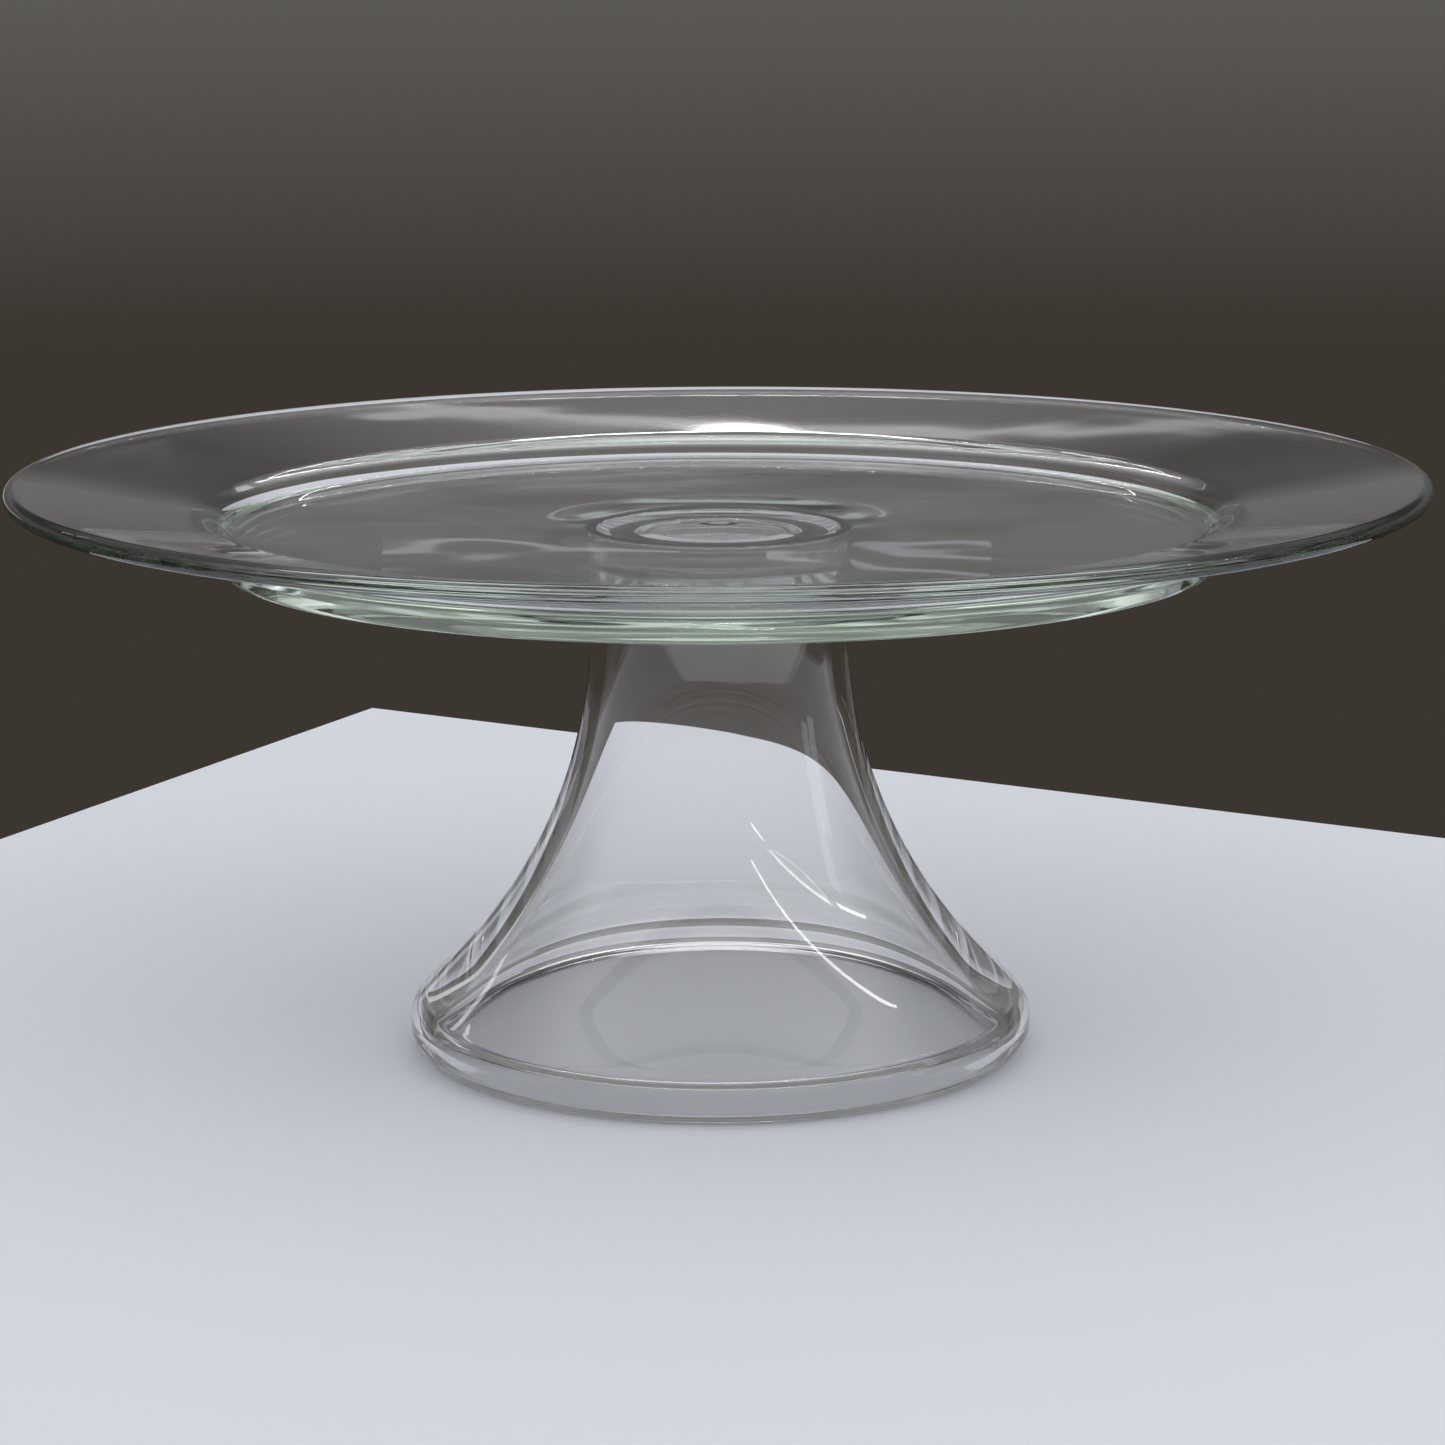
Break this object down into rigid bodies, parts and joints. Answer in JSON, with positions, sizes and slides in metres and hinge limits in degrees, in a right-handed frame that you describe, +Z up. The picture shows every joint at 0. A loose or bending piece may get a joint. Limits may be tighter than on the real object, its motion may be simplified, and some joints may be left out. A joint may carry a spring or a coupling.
{
  "type": "cake stand",
  "caption": "Clear glass pedestal cake stand: a round rimmed plate with a shallow well on a hollow, flared foot.",
  "frame": {"origin": "centre of the foot's resting ring, on the surface the stand rests on", "axes": "+Z up along the stand's axis of revolution; X and Y are any two directions across the round plate"},
  "size_m": [0.305, 0.305, 0.1275],
  "materials": {
    "plate_glass": "clear, fire-polished, faint green tint through its edge",
    "foot_glass": "clear, fire-polished, slightly wavy",
    "clear_bond": "clear cured bond, glossy"
  },
  "bodies": {
    "root": {"cake_plate": "plate_glass", "pedestal_foot": "foot_glass", "bond_layer": "clear_bond"}
  },
  "joints": []
}
